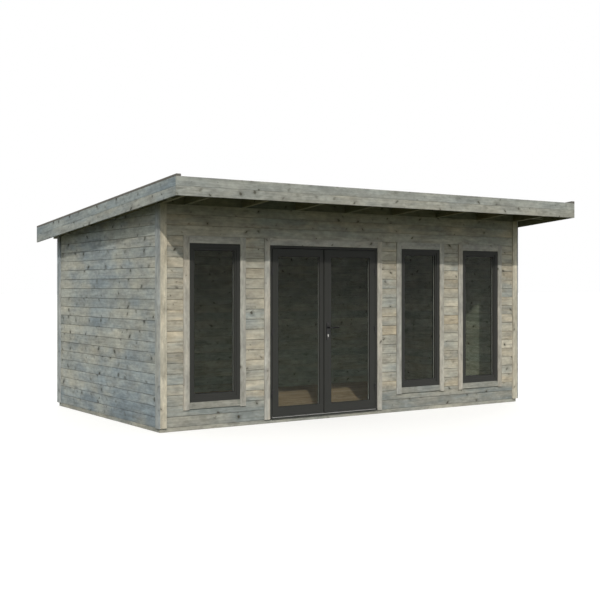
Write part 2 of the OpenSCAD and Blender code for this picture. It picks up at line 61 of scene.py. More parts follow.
# View: a level camera at eye height before the left front corner of the house.
# The lens is shifted down a little, so that the horizon lies above the picture's middle.
view_place = (-7.481, -11.042, 1.567)
view_heading = -33.874
lens_length = 60.26
sensor_w = 36
lens_shift = -0.0205
view_data = bpy.data.cameras.new("view")
view_data.lens = lens_length
view_data.sensor_width = sensor_w
view_data.shift_y = lens_shift
view = bpy.data.objects.new("view", view_data)
view.location = view_place
view.rotation_euler = (math.radians(90), 0, math.radians(view_heading))
bpy.context.collection.objects.link(view)
bpy.context.scene.camera = view
bpy.context.scene.view_settings.view_transform = "Standard"


# Daylight: a warm sun from behind the camera throws the eaves' shadow on the front wall, softened by haze.
# A cool sky fills the shade, and a broad lamp reaches the back and the right side, where no sun falls.
# The background is white, also in gloss and through glass.
def add_node(tree, kind, inputs=None, **settings):
    """Adds a node with its settings and its inputs, each a value or another node's output."""
    made = tree.nodes.new(kind)
    for name, value in settings.items():
        setattr(made, name, value)
    for socket, value in (inputs or {}).items():
        if isinstance(value, bpy.types.NodeSocket):
            tree.links.new(value, made.inputs[socket])
        else:
            made.inputs[socket].default_value = value
    return made


def math_node(tree, operation, first, second=0.0, third=0.0):
    """Result of a sum on two or three values or outputs."""
    terms = {0: first, 1: second, 2: third}
    return add_node(tree, "ShaderNodeMath", terms, operation=operation).outputs[0]


def seen_directly(tree):
    """1 for rays from the camera, in reflections and through glass, and 0 for rays that bring light."""
    path = add_node(tree, "ShaderNodeLightPath").outputs
    gloss = math_node(tree, "MAXIMUM", path["Is Camera Ray"], path["Is Glossy Ray"])
    through = math_node(tree, "MAXIMUM", gloss, path["Is Transmission Ray"])
    unscattered = math_node(tree, "LESS_THAN", path["Diffuse Depth"], 0.5)
    return math_node(tree, "MULTIPLY", through, unscattered)


sunbeam = (0.515, 0.834, -0.632)
far_beam = (-0.55, -0.72, -0.42)
for name, energy, breadth, colour, beam in (
    ("sun", 2.0, 0.6, (1.0, 0.93, 0.82), sunbeam),
    ("haze round the sun", 0.85, 60, (1.0, 0.98, 0.95), sunbeam),
    ("far side fill", 1.7, 50, (1.0, 0.97, 0.92), far_beam),
):
    lamp_data = bpy.data.lights.new(name, "SUN")
    lamp_data.energy = energy
    lamp_data.angle = math.radians(breadth)
    lamp_data.color = colour
    lamp = bpy.data.objects.new(name, lamp_data)
    lamp.rotation_euler = Vector(beam).to_track_quat("-Z", "Y").to_euler()
    bpy.context.collection.objects.link(lamp)

sky_fill = 0.7
sky_colour = (0.94, 0.98, 0.97, 1)
white = (1, 1, 1, 1)
world = bpy.data.worlds.new("sky")
world.use_nodes = True
sky = world.node_tree
sky.nodes.clear()
fill = add_node(sky, "ShaderNodeBackground", {"Color": sky_colour, "Strength": sky_fill})
backdrop = add_node(sky, "ShaderNodeBackground", {"Color": white, "Strength": 1.0})
sky_mix = add_node(
    sky, "ShaderNodeMixShader", {0: seen_directly(sky), 1: fill.outputs[0], 2: backdrop.outputs[0]}
)
add_node(sky, "ShaderNodeOutputWorld", {"Surface": sky_mix.outputs[0]})
bpy.context.scene.world = world


# Ground: a wide pale floor that the house stands on. It glows just enough to be white in the sun,
# and the house's shadow still shows on it. It throws little light back on the walls.
floor_size = 400
floor_drop = 0.001
floor_grey = (0.5, 0.5, 0.5, 1)
floor_bounce = (0.085, 0.085, 0.045, 1)
floor_glow = 0.53


def mix(tree, share, first, second):
    """Mix of two colours."""
    return add_node(tree, "ShaderNodeMix", {0: share, 6: first, 7: second}, data_type="RGBA").outputs[2]


bpy.ops.object.select_all(action="DESELECT")
bpy.ops.mesh.primitive_plane_add(size=floor_size, location=(0, 0, -floor_drop))
ground = bpy.context.object
ground.name = "ground"
pale = bpy.data.materials.new("pale floor")
pale.use_nodes = True
tree = pale.node_tree
tree.nodes.clear()
seen = seen_directly(tree)
floor_tone = mix(tree, seen, floor_bounce, floor_grey)
matt = add_node(tree, "ShaderNodeBsdfDiffuse", {"Color": floor_tone})
brightness = math_node(tree, "MULTIPLY", seen, floor_glow)
glow = add_node(tree, "ShaderNodeEmission", {"Color": white, "Strength": brightness})
both = add_node(tree, "ShaderNodeAddShader", {0: matt.outputs[0], 1: glow.outputs[0]})
add_node(tree, "ShaderNodeOutputMaterial", {"Surface": both.outputs[0]})
ground.data.materials.append(pale)
ground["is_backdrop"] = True


# Base: two long bearers on the ground and joists between them, sawn from impregnated softwood.
# Their edges are eased, and the board walls stand along the outside of the frame that they make.
def paint(red, green, blue):
    """Colour as a screen shows it, from 0 to 255, made linear for a shader."""
    shares = (c / 255 for c in (red, green, blue))
    return (*(c / 12.92 if c < 0.04045 else ((c + 0.055) / 1.055) ** 2.4 for c in shares), 1)


def remap(tree, value, low, high, to_low=0.0, to_high=1.0):
    """A value between low and high, eased into one between to_low and to_high."""
    ends = {"Value": value, "From Min": low, "From Max": high, "To Min": to_low, "To Max": to_high}
    return add_node(tree, "ShaderNodeMapRange", ends, interpolation_type="SMOOTHSTEP").outputs[0]


def stretch(tree, place, scale):
    """A place multiplied by a scale for each axis."""
    return add_node(tree, "ShaderNodeVectorMath", {0: place, 1: scale}, operation="MULTIPLY").outputs[0]


def cloud(tree, place, scale, detail):
    """Noise stretched along the axes of a place."""
    pattern = {"Vector": stretch(tree, place, scale), "Scale": 1.0, "Detail": detail, "Roughness": 0.6}
    return add_node(tree, "ShaderNodeTexNoise", pattern).outputs["Fac"]


def make_timber_group():
    """Grain, rings, knots and stain of a sawn board, with painted shade in its joints, its length along X
    and its width along Y.
    """
    group = bpy.data.node_groups.new("stained timber", "ShaderNodeTree")
    for name, kind in (
        ("Vector", "NodeSocketVector"), ("Board", "NodeSocketFloat"), ("Joint Shade", "NodeSocketFloat"),
        ("Pale", "NodeSocketColor"), ("Warm", "NodeSocketColor"), ("Cool", "NodeSocketColor"),
        ("Dark", "NodeSocketColor"), ("Knot Size", "NodeSocketFloat"),
        ("Knot Share", "NodeSocketFloat"), ("Drift", "NodeSocketFloat"), ("Damp", "NodeSocketFloat"),
    ):
        group.interface.new_socket(name, in_out="INPUT", socket_type=kind)
    for name, kind in (
        ("Color", "NodeSocketColor"), ("Roughness", "NodeSocketFloat"), ("Height", "NodeSocketFloat"),
    ):
        group.interface.new_socket(name, in_out="OUTPUT", socket_type=kind)
    given = group.nodes.new("NodeGroupInput").outputs

    # Each board is cut from another place in the wood
    wood_size = (31, 17, 23)
    chance = add_node(group, "ShaderNodeTexWhiteNoise", {"W": given["Board"]}, noise_dimensions="1D")
    draws = add_node(group, "ShaderNodeSeparateColor", {0: chance.outputs["Color"]}).outputs
    shift = stretch(group, chance.outputs["Color"], wood_size)
    moved = {0: given["Vector"], 1: shift}
    place = add_node(group, "ShaderNodeVectorMath", moved, operation="ADD").outputs[0]

    # Knots: one chance in each cell, measured in metres from the cell's own point
    cell = (4.0, 9.0, 1)
    knot_stretch = (0.85, 0.8)
    knot_lean = 0.8
    knot_ragged = 1.2
    cells = {"Vector": stretch(group, place, cell), "Scale": 1.0}
    spots = add_node(group, "ShaderNodeTexVoronoi", cells, voronoi_dimensions="2D").outputs
    luck = add_node(group, "ShaderNodeSeparateColor", {0: spots["Color"]}).outputs
    ends = {0: cells["Vector"], 1: spots["Position"]}
    away = add_node(group, "ShaderNodeVectorMath", ends, operation="SUBTRACT").outputs[0]
    metric = stretch(group, away, (knot_stretch[0] / cell[0], knot_stretch[1] / cell[1], 0))
    aside = add_node(group, "ShaderNodeSeparateXYZ", {0: metric}).outputs
    tilt = math_node(group, "FRACT", math_node(group, "MULTIPLY", luck[2], 7.0))
    slant = remap(group, tilt, 0.0, 1.0, -knot_lean, knot_lean)
    lean = math_node(group, "MULTIPLY", aside["Y"], slant)
    leaning = {"X": math_node(group, "ADD", aside["X"], lean), "Y": aside["Y"]}
    oval = add_node(group, "ShaderNodeCombineXYZ", leaning).outputs[0]
    distance = add_node(group, "ShaderNodeVectorMath", {0: oval}, operation="LENGTH").outputs["Value"]
    girth = remap(group, luck[1], 0.0, 1.0, 0.25, 1.0)
    radius = math_node(group, "MULTIPLY", given["Knot Size"], girth)
    ragged = math_node(group, "SUBTRACT", cloud(group, place, (50, 70, 70), 2.0), 0.5)
    outward = math_node(group, "DIVIDE", distance, radius)
    reach = math_node(group, "MULTIPLY_ADD", ragged, knot_ragged, outward)
    present = math_node(group, "LESS_THAN", luck[0], given["Knot Share"])
    depth = math_node(group, "MULTIPLY", present, remap(group, luck[2], 0.0, 1.0, 0.3, 1.0))
    knot = math_node(group, "MULTIPLY", depth, remap(group, reach, 1.2, 0.5))
    halo = math_node(group, "MULTIPLY", depth, remap(group, reach, 3.0, 0.8))

    # Grain: broad streaks, fine fibres, and rings that bend round the knots
    streak = cloud(group, place, (2.4, 46, 46), 5.0)
    fibre = cloud(group, place, (11, 520, 520), 3.0)
    mottle = cloud(group, place, (13, 26, 26), 4.0)
    bloom = cloud(group, place, (3, 7, 7), 3.0)
    sway = cloud(group, place, (1.1, 8, 8), 2.0)
    across = add_node(group, "ShaderNodeSeparateXYZ", {0: place}).outputs["Y"]
    ring_turns = 520.0
    ring_sway = 46.0
    knot_bend = 7.0
    straight = math_node(group, "MULTIPLY", across, ring_turns)
    bent = math_node(group, "MULTIPLY_ADD", sway, ring_sway, straight)
    bent_round = math_node(group, "MULTIPLY_ADD", halo, knot_bend, bent)
    year_ring = remap(group, math_node(group, "SINE", bent_round), -0.6, 1.0)

    # Stain: warm and pale boards, with cool grey along them, over several of them and near the ground
    patch = remap(group, cloud(group, place, (1.3, 7, 7), 5.0), 0.40, 0.62)
    drift = remap(group, cloud(group, given["Vector"], (0.9, 1.5, 1.5), 3.0), 0.38, 0.62)
    patch_share = 0.54
    damp_share = 0.7
    whole = remap(group, draws[1], 0.0, 1.0, 0.0, 1 - patch_share)
    alone = math_node(group, "MULTIPLY_ADD", patch, patch_share, whole)
    beyond = math_node(group, "SUBTRACT", drift, alone)
    dry = math_node(group, "ADD", alone, math_node(group, "MULTIPLY", beyond, given["Drift"]))
    chill = math_node(group, "MULTIPLY_ADD", given["Damp"], damp_share, dry)
    smudge = remap(group, cloud(group, place, (5, 15, 15), 4.0), 0.54, 0.74)
    bare = mix(group, draws[0], given["Pale"], given["Warm"])
    stained = mix(group, math_node(group, "MINIMUM", chill, 1.0), bare, given["Cool"])
    light = remap(group, streak, 0.3, 0.7, 0.88, 1.08)
    for pattern, low, high, first, last in (
        (fibre, 0.3, 0.7, 0.93, 1.05), (year_ring, 0.0, 1.0, 1.03, 0.94), (mottle, 0.3, 0.7, 0.86, 1.12),
        (bloom, 0.35, 0.65, 0.88, 1.16), (draws[2], 0.0, 1.0, 0.93, 1.06),
        (given["Damp"], 0.0, 1.0, 1.0, 0.86),
    ):
        light = math_node(group, "MULTIPLY", light, remap(group, pattern, low, high, first, last))
    tone = add_node(group, "ShaderNodeVectorMath", {0: stained, 3: light}, operation="SCALE").outputs[0]
    # Painted shade: the marked joint chamfers are darkened towards the dark tone, for the shadow line of
    # each joint.
    for mask, strength in ((smudge, 0.34), (halo, 0.30), (knot, 0.92), (given["Joint Shade"], 0.42)):
        tone = mix(group, math_node(group, "MULTIPLY", mask, strength), tone, given["Dark"])

    # Gloss and relief: the fibres are raised, and the rings lie a little lower
    rough = remap(group, streak, 0.3, 0.7, 0.84, 0.70)
    relief = math_node(group, "MULTIPLY_ADD", fibre, 0.6, math_node(group, "MULTIPLY", year_ring, -0.4))
    add_node(group, "NodeGroupOutput", {"Color": tone, "Roughness": rough, "Height": relief})
    return group


timber_group = make_timber_group()
damp_foot = 0.10
damp_top = 0.40


def timber(name, turn, tones, knot_size=0.013, knot_share=0.55, drift=0.35, damp=0.0):
    """Material of sawn boards. turn, in degrees, lays their length along X and their width along Y."""
    made = bpy.data.materials.new(name)
    made.use_nodes = True
    tree = made.node_tree
    surface = tree.nodes["Principled BSDF"]
    own = add_node(tree, "ShaderNodeTexCoord").outputs["Object"]
    angles = [math.radians(angle) for angle in turn]
    values = {"Knot Size": knot_size, "Knot Share": knot_share, "Drift": drift, **tones}
    values["Vector"] = add_node(tree, "ShaderNodeMapping", {"Vector": own, "Rotation": angles}).outputs[0]
    for socket, attribute in (("Board", "board"), ("Joint Shade", "joint")):
        read = add_node(tree, "ShaderNodeAttribute", attribute_name=attribute)
        values[socket] = read.outputs["Fac"]
    if damp:
        rise = add_node(tree, "ShaderNodeSeparateXYZ", {0: own}).outputs["Z"]
        values["Damp"] = remap(tree, rise, damp_top, damp_foot, 0.0, damp)
    grain = add_node(tree, "ShaderNodeGroup", values, node_tree=timber_group)
    relief = add_node(
        tree, "ShaderNodeBump", {"Height": grain.outputs["Height"], "Strength": 0.5, "Distance": 0.0006}
    )
    tree.links.new(grain.outputs["Color"], surface.inputs["Base Color"])
    tree.links.new(grain.outputs["Roughness"], surface.inputs["Roughness"])
    tree.links.new(relief.outputs[0], surface.inputs["Normal"])
    surface.inputs["Specular IOR Level"].default_value = 0.25
    return made


def solids(mesh, same_point):
    """Face numbers of each separate solid of a mesh, ordered by the solids' lowest corners."""
    owner = list(range(len(mesh.polygons)))

    def first(face):
        while owner[face] != face:
            owner[face] = owner[owner[face]]
            face = owner[face]
        return face

    met = {}
    for face in mesh.polygons:
        for vertex in face.vertices:
            neighbour = met.setdefault(same_point(mesh.vertices[vertex]), face.index)
            owner[first(face.index)] = first(neighbour)
    groups = {}
    for face in mesh.polygons:
        groups.setdefault(first(face.index), []).append(face.index)

    def lowest(faces):
        points = [mesh.vertices[v].co for f in faces for v in mesh.polygons[f].vertices]
        return [round(min(values), 3) for values in zip(*points)]

    return sorted(groups.values(), key=lowest)


def node_boxes(node):
    """Lowest and highest corner of each solid of a frame's node."""
    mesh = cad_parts[node].data
    boxes = []
    for faces in solids(mesh, lambda vertex: tuple(round(c, 5) for c in vertex.co)):
        points = [mesh.vertices[v].co for f in faces for v in mesh.polygons[f].vertices]
        low, high = (Vector([pick(values) for values in zip(*points)]) for pick in (min, max))
        boxes.append((low, high))
    return boxes


def block(name, low, high):
    """Squared block between two corners, active and selected."""
    low, high = Vector(low), Vector(high)
    bpy.ops.object.select_all(action="DESELECT")
    bpy.ops.mesh.primitive_cube_add(size=1, location=(low + high) / 2)
    piece = bpy.context.object
    piece.name = name
    piece.scale = high - low
    bpy.ops.object.transform_apply(location=True, rotation=True, scale=True)
    return piece


def join(name, pieces):
    """Several pieces made one."""
    bpy.ops.object.select_all(action="DESELECT")
    for piece in pieces:
        piece.select_set(True)
    bpy.context.view_layer.objects.active = pieces[0]
    bpy.ops.object.join()
    pieces[0].name = name
    return pieces[0]


def apply_modifier(piece, kind, **settings):
    """Adds a modifier to a piece and applies it."""
    modifier = piece.modifiers.new(kind.lower(), kind)
    for name, value in settings.items():
        setattr(modifier, name, value)
    bpy.ops.object.select_all(action="DESELECT")
    piece.select_set(True)
    bpy.context.view_layer.objects.active = piece
    bpy.ops.object.modifier_apply(modifier=modifier.name)


def ease_edges(piece, width, segments=2):
    """Rounds the sharp edges of a piece."""
    sharp = math.radians(30)
    apply_modifier(piece, "BEVEL", width=width, segments=segments, limit_method="ANGLE", angle_limit=sharp)


def number_boards(piece):
    """Gives each board of a piece a number of its own, which its finish reads."""
    mesh = piece.data
    numbers = [0] * len(mesh.polygons)
    for number, faces in enumerate(solids(mesh, lambda vertex: vertex.index)):
        for face in faces:
            numbers[face] = number
    mesh.attributes.new("board", "FLOAT", "FACE").data.foreach_set("value", numbers)


def fix(piece, material, slot, body, *nodes):
    """Gives a finished piece its material and its body, and hides the nodes that it replaces. The slot is
    not used.
    """
    if material is not None:
        piece.data.materials.clear()
        piece.data.materials.append(material)
    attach(piece, body)
    if nodes:
        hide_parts(*nodes)


along_x = (-90, 0, 0)
along_y = (-90, -90, 0)
base_edge = 0.003
base_tones = {
    "Pale": paint(160, 162, 156), "Warm": paint(162, 158, 146), "Cool": paint(138, 144, 144),
    "Dark": paint(64, 62, 54),
}
for node, turn in (("base_beams", along_x), ("floor_joists", along_y)):
    timbers = [block(node, low, high) for low, high in node_boxes(node)]
    bearers = join(node + "_eased", timbers)
    ease_edges(bearers, base_edge)
    number_boards(bearers)
    sawn = timber(node, turn, base_tones, knot_size=0.012, knot_share=0.4)
    fix(bearers, sawn, "base_timber", "house", node)


# Floor: planed spruce boards nailed across the joists, bare and warm brown.
# They butt along their length, with one end joint a row that moves on from row to row.
flat_along_x = (0, 0, 0)
floor_tones = {
    "Pale": paint(212, 188, 166), "Warm": paint(204, 174, 148), "Cool": paint(192, 166, 146),
    "Dark": paint(84, 60, 46),
}
floor_board_w = 0.0966
floor_board_gap = 0.0012
floor_joint_step = 0.16
floor_edge = 0.001
low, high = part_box("floor_deck")
rows = round((high.y - low.y) / floor_board_w)
row_w = (high.y - low.y) / rows
floor_boards = []
for row in range(rows):
    y0 = low.y + row * row_w
    y1 = y0 + row_w - floor_board_gap
    joint_x = low.x + (high.x - low.x) * (0.5 + floor_joint_step * (row % 3 - 1))
    floor_boards.append(block("row", (low.x, y0, low.z), (joint_x - floor_board_gap, y1, high.z)))
    floor_boards.append(block("row", (joint_x, y0, low.z), (high.x, y1, high.z)))
floor = join("floor_boards", floor_boards)
ease_edges(floor, floor_edge, 1)
number_boards(floor)
bare_floor = timber("bare floor boards", flat_along_x, floor_tones, knot_size=0.011, knot_share=0.45)
fix(floor, bare_floor, "floor_boards", "house", "floor_deck")


# Walls: tongued and grooved boards stacked on edge, with chamfered joints inside and out.
# They are spruce, dipped in a grey stain that took differently on each board, and bare inside.
def pick_faces(piece, wanted):
    """Selects, in edit mode, the faces that wanted(centre, normal) names."""
    bpy.context.view_layer.objects.active = piece
    bpy.context.tool_settings.mesh_select_mode = (False, False, True)
    for part in (*piece.data.vertices, *piece.data.edges):
        part.select = False
    for face in piece.data.polygons:
        face.select = wanted(face.center, face.normal)
    bpy.ops.object.mode_set(mode="EDIT")


def pick_edges(piece, wanted):
    """Selects, in edit mode, the edges that wanted(one end, other end) names."""
    bpy.context.view_layer.objects.active = piece
    bpy.context.tool_settings.mesh_select_mode = (False, True, False)
    points = piece.data.vertices
    for part in (*piece.data.polygons, *points):
        part.select = False
    for edge in piece.data.edges:
        edge.select = wanted(*(points[v].co for v in edge.vertices))
    bpy.ops.object.mode_set(mode="EDIT")


def leave_edit():
    """Back to object mode."""
    bpy.ops.object.mode_set(mode="OBJECT")


square_on = 0.9
felt_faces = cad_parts["roof_felt"].data.polygons
pitch_up = max((face.normal.copy() for face in felt_faces), key=lambda normal: normal.z)
rafter_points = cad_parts["rafters"].data.vertices
rafter_seat = min((point.co.copy() for point in rafter_points), key=pitch_up.dot)


def looks_up(centre, normal):
    """True for a face that looks up."""
    return normal.z > square_on


def looks_down(centre, normal):
    """True for a face that looks down."""
    return normal.z < -square_on


def trim_to_rafters(piece):
    """Cuts a piece off along the underside of the rafters."""
    pick_faces(piece, lambda centre, normal: True)
    bpy.ops.mesh.bisect(plane_co=rafter_seat, plane_no=pitch_up, use_fill=True, clear_outer=True)
    leave_edit()


course_h = 0.1162
course_gap = 0.001
chamfer = 0.004
tongue_h = 0.007
tongue_inset = 0.018
groove_inset = 0.017


def board_wall(name, low, high, axis):
    """Wall of boards that run along an axis, from the base up to the rafters."""
    top = low.z + course_h - course_gap
    wall = block(name, low, (high.x, high.y, top))
    pick_edges(wall, lambda a, b: abs(a[axis] - b[axis]) > chamfer)
    bpy.ops.mesh.bevel(offset=chamfer, segments=1)
    leave_edit()
    for wanted, inset in ((looks_up, tongue_inset), (looks_down, groove_inset)):
        pick_faces(wall, wanted)
        bpy.ops.mesh.inset(thickness=inset)
        bpy.ops.mesh.extrude_region_move(TRANSFORM_OT_translate={"value": (0, 0, tongue_h)})
        leave_edit()
    apply_modifier(
        wall, "ARRAY", count=math.ceil((high.z - low.z) / course_h), use_relative_offset=False,
        use_constant_offset=True, constant_offset_displace=(0, 0, course_h),
    )
    trim_to_rafters(wall)
    return wall


def mark_joints(piece):
    """Marks the upper chamfer of each board, the one that catches the sun, for painted shade that stands
    in for the shadow line of each joint.
    """
    normals = [face.normal for face in piece.data.polygons]
    slanted = [max(map(abs, normal)) < square_on and normal.z > 0 for normal in normals]
    piece.data.attributes.new("joint", "FLOAT", "FACE").data.foreach_set("value", slanted)


front_tones = {
    "Pale": paint(180, 176, 163), "Warm": paint(184, 172, 150), "Cool": paint(140, 147, 147),
    "Dark": paint(60, 57, 48),
}
side_tones = {
    "Pale": paint(172, 175, 169), "Warm": paint(175, 172, 159), "Cool": paint(133, 145, 153),
    "Dark": paint(58, 59, 54),
}
room_tones = {
    "Pale": paint(173, 176, 161), "Warm": paint(178, 173, 153), "Cool": paint(158, 167, 156),
    "Dark": paint(62, 54, 42),
}
front_boards = timber(
    "wall boards along the front", along_x, front_tones, knot_size=0.017, knot_share=0.5, damp=0.85
)
side_boards = timber(
    "wall boards along the sides", along_y, side_tones, knot_size=0.022, drift=0.62, damp=0.5
)
bare_front_boards = timber("bare inside of the front and back", along_x, room_tones)
bare_side_boards = timber("bare inside of the sides", along_y, room_tones)


def add_second_finish(piece, material, wanted):
    """Gives the faces that wanted(centre, normal) names another material."""
    piece.data.materials.append(material)
    chosen = [int(wanted(face.center, face.normal)) for face in piece.data.polygons]
    piece.data.polygons.foreach_set("material_index", chosen)


def bare_inside(wall, material, axis):
    """Leaves the half of a wall that faces the room without stain."""
    across = 1 - axis
    middle = sum(point.co[across] for point in wall.data.vertices) / len(wall.data.vertices)
    add_second_finish(wall, material, lambda centre, normal: abs(centre[across]) < abs(middle))


piers_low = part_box("front_wall_piers")[0]
header_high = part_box("front_wall_header")[1]
front_wall = board_wall("front_wall_boards", piers_low, header_high, 0)
windows = ("left_window", "middle_window", "right_window")
margin = 0.02
openings = []
for window in windows:
    low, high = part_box(window + "_frame")
    openings.append(block("opening", (low.x, low.y - margin, low.z), (high.x, high.y + margin, high.z)))
low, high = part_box("door_jambs")
head_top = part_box("door_head")[1].z
openings.append(block(
    "opening", (low.x, low.y - margin, low.z - margin), (high.x, high.y + margin, head_top),
))
cutter = join("openings", openings)
apply_modifier(front_wall, "BOOLEAN", object=cutter, operation="DIFFERENCE", solver="EXACT")
bpy.data.objects.remove(cutter)
number_boards(front_wall)
mark_joints(front_wall)
fix(
    front_wall, front_boards, "wall_boards", "house",
    "front_wall_piers", "front_wall_sills", "front_wall_header",
)
bare_inside(front_wall, bare_front_boards, 0)
for node, axis, stained, bare in (
    ("back_wall", 0, front_boards, bare_front_boards),
    ("left_wall", 1, side_boards, bare_side_boards),
    ("right_wall", 1, side_boards, bare_side_boards),
):
    wall = board_wall(node + "_boards", *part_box(node), axis)
    number_boards(wall)
    mark_joints(wall)
    fix(wall, stained, "wall_boards", "house", node)
    bare_inside(wall, bare, axis)


# Corner boards: two planed boards nailed over the ends of the wall boards at each corner.
# The side one laps over the edge of the front one, and both stop under the rafters.
def coat(name, colour, rough, grain, metallic=0.0, gloss=0.5):
    """Sprayed or cast finish with a fine grain in its relief and soft patches in its colour and gloss."""
    made = bpy.data.materials.new(name)
    made.use_nodes = True
    tree = made.node_tree
    surface = tree.nodes["Principled BSDF"]
    own = add_node(tree, "ShaderNodeTexCoord").outputs["Object"]
    speckle = cloud(tree, own, (grain, grain, grain), 4.0)
    patch = cloud(tree, own, (5, 5, 5), 3.0)
    shade = 0.82
    darker = tuple(c * shade for c in colour[:3]) + (1,)
    rough_spread = 0.06
    sheen = remap(tree, patch, 0.3, 0.7, rough - rough_spread, rough + rough_spread)
    tree.links.new(mix(tree, patch, darker, colour), surface.inputs["Base Color"])
    tree.links.new(sheen, surface.inputs["Roughness"])
    relief = add_node(tree, "ShaderNodeBump", {"Height": speckle, "Strength": 0.3, "Distance": 0.0003})
    tree.links.new(relief.outputs[0], surface.inputs["Normal"])
    surface.inputs["Metallic"].default_value = metallic
    surface.inputs["Specular IOR Level"].default_value = gloss
    return made


upright_front = (90, 0, 90)
upright_side = (0, 90, 0)
corner_tones = {
    "Pale": paint(188, 184, 170), "Warm": paint(190, 182, 164), "Cool": paint(172, 172, 164),
    "Dark": paint(66, 62, 52),
}
corner_side_tones = {
    "Pale": paint(162, 167, 167), "Warm": paint(165, 164, 157), "Cool": paint(124, 138, 151),
    "Dark": paint(58, 59, 54),
}
corner_facing_front = timber(
    "corner boards facing front", upright_front, corner_tones, knot_size=0.012, knot_share=0.3
)
corner_facing_side = timber(
    "corner boards facing sideways", upright_side, corner_side_tones, knot_size=0.012, knot_share=0.3
)
nail_r = 0.0035
nail_sides = 12
nail_proud = 0.0005
nail_sunk = 0.001
nail_edge = 0.0003
nail_steel = coat("nail steel", paint(150, 150, 147), rough=0.45, grain=1600, metallic=0.7)
bpy.ops.object.select_all(action="DESELECT")
bpy.ops.mesh.primitive_cylinder_add(
    vertices=nail_sides, radius=nail_r, depth=nail_proud + nail_sunk,
    location=(0, 0, (nail_proud - nail_sunk) / 2),
)
nail_head = bpy.context.object
bpy.ops.object.transform_apply(location=True, rotation=True, scale=True)
pick_faces(nail_head, looks_up)
bpy.ops.mesh.bevel(offset=nail_edge, segments=1)
leave_edit()


def drive(name, head, spots, material, slot, body):
    """Copies of a nail's or screw's head at spots, each a point on a face and the way that it looks."""
    heads = []
    for place, facing in spots:
        copy = bpy.data.objects.new(name, head.data.copy())
        turn = Vector(facing).to_track_quat("Z", "Y").to_matrix().to_4x4()
        copy.data.transform(Matrix.Translation(place) @ turn)
        bpy.context.collection.objects.link(copy)
        heads.append(copy)
    fix(join(name, heads), material, slot, body)


corner_t = 0.018
corner_edge = 0.0025
nail_rows = 6
nail_inset = 0.022
nail_end = 0.09
corner_nails = []
for node in [f"corner_trim_{end}_{side}" for end in ("front", "back") for side in ("left", "right")]:
    low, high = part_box(node)
    face_y = (low.y, low.y + corner_t) if low.y < 0 else (high.y - corner_t, high.y)
    face_x = (low.x + corner_t, high.x) if low.x < 0 else (low.x, high.x - corner_t)
    side_x = (low.x, low.x + corner_t) if low.x < 0 else (high.x - corner_t, high.x)
    face_board = block(node, (face_x[0], face_y[0], low.z), (face_x[1], face_y[1], high.z))
    face_board.data.materials.append(corner_facing_front)
    side_board = block(node, (side_x[0], low.y, low.z), (side_x[1], high.y, high.z))
    side_board.data.materials.append(corner_facing_side)
    out_y = -1 if low.y < 0 else 1
    out_x = -1 if low.x < 0 else 1
    for row in range(nail_rows):
        z = low.z + nail_end + (high.z - low.z - 2 * nail_end) * row / (nail_rows - 1)
        for x in (face_x[0] + nail_inset, face_x[1] - nail_inset):
            corner_nails.append(((x, low.y if out_y < 0 else high.y, z), (0, out_y, 0)))
        for y in (low.y + nail_inset, high.y - nail_inset):
            corner_nails.append(((low.x if out_x < 0 else high.x, y, z), (out_x, 0, 0)))
    corner = join(node + "_boards", [face_board, side_board])
    trim_to_rafters(corner)
    ease_edges(corner, corner_edge)
    number_boards(corner)
    fix(corner, None, "trim_boards", "house", node)
drive("corner_nails", nail_head, corner_nails, nail_steel, "bright_steel", "house")


# Casings: planed boards nailed round each opening, the side ones running on past the sill board.
# They close the joint between the frames and the wall boards. The sill boards have weathered more.
casing_tones = {
    "Pale": paint(173, 171, 163), "Warm": paint(176, 168, 155), "Cool": paint(158, 160, 158),
    "Dark": paint(66, 62, 52),
}
sill_tones = {
    "Pale": paint(144, 146, 141), "Warm": paint(147, 145, 136), "Cool": paint(131, 137, 137),
    "Dark": paint(58, 57, 50),
}
upright_casing = timber("upright casing", upright_front, casing_tones, knot_size=0.012, knot_share=0.3)
level_casing = timber("level casing", along_x, casing_tones, knot_share=0.4)
weathered_sill = timber("weathered sill board", along_x, sill_tones, knot_share=0.4)
sill_reach = 1.0
casing_edge = 0.0025
casing_nail_pitch = 0.45
casing_nails = []
for node, material in (("casing_sides", upright_casing), ("casing_rails", level_casing)):
    boxes = node_boxes(node)
    for low, high in boxes:
        run = 0 if high.x - low.x > high.z - low.z else 2
        length = high[run] - low[run]
        count = max(2, round(length / casing_nail_pitch) + 1)
        for number in range(count):
            spot = Vector(((low.x + high.x) / 2, low.y, (low.z + high.z) / 2))
            spot[run] = low[run] + nail_inset + (length - 2 * nail_inset) * number / (count - 1)
            casing_nails.append((spot, (0, -1, 0)))
    casing = join(node + "_boards", [block(node, low, high) for low, high in boxes])
    ease_edges(casing, casing_edge)
    number_boards(casing)
    fix(casing, material, "trim_boards", "house", node)
    if node == "casing_rails":
        add_second_finish(casing, weathered_sill, lambda centre, normal: centre.z < sill_reach)
drive("casing_nails", nail_head, casing_nails, nail_steel, "bright_steel", "house")


# Window frames: laminated timber, sprayed anthracite, with the fixed sash set back in the frame.
# Each is screwed into its opening in the wall boards, behind the casings.
def node_copy(node, name):
    """Copy of a frame's node with its triangles merged into whole faces, active and selected."""
    piece = bpy.data.objects.new(name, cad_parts[node].data.copy())
    bpy.context.collection.objects.link(piece)
    bpy.ops.object.select_all(action="DESELECT")
    piece.select_set(True)
    bpy.context.view_layer.objects.active = piece
    bpy.ops.object.mode_set(mode="EDIT")
    bpy.ops.mesh.select_all(action="SELECT")
    bpy.ops.mesh.remove_doubles(threshold=1e-5)
    bpy.ops.mesh.dissolve_limited(angle_limit=math.radians(1))
    leave_edit()
    return piece


window_edge = 0.002
anthracite = coat("anthracite paint", paint(57, 58, 57), rough=0.5, grain=900, gloss=0.1)
for window in windows:
    window_frame = node_copy(window + "_frame", window + "_painted_frame")
    ease_edges(window_frame, window_edge)
    fix(window_frame, anthracite, "frame_paint", "house", window + "_frame")


